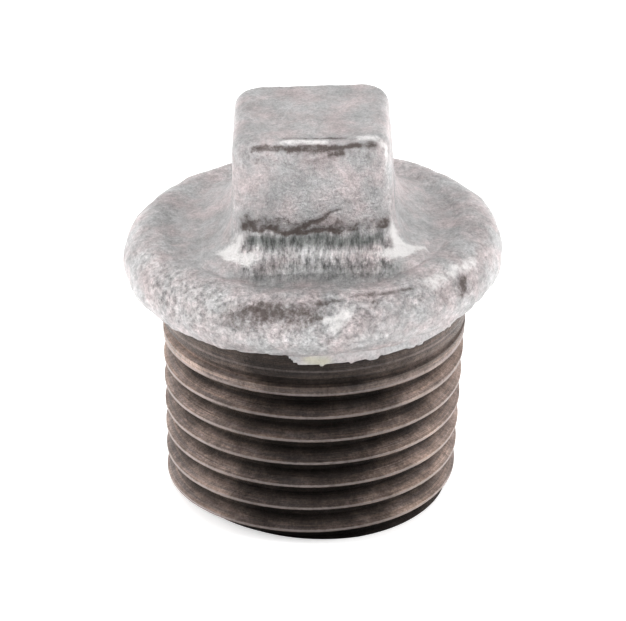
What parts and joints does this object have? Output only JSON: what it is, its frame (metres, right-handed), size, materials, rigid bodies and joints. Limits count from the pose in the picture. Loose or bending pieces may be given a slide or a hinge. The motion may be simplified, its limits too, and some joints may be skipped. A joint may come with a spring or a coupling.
{
  "type": "pipe plug",
  "caption": "Male pipe plug with a square wrench head, a rounded bead and a taper pipe thread, hollow from the threaded end.",
  "frame": {"origin": "centre of the threaded end face, on the thread axis", "axes": "+Z along the thread axis from the threaded end towards the square head; +X and +Y square to two pairs of head flats; the plug is seen from -Y"},
  "size_m": [0.0261, 0.0262, 0.0284],
  "materials": {
    "bare_iron": "machined, darkened",
    "zinc": "hot-dip zinc, matt"
  },
  "bodies": {
    "root": {"plug_casting": "bare_iron", "zinc_coating_outer": "zinc", "zinc_coating_cavity": "zinc"}
  },
  "joints": []
}
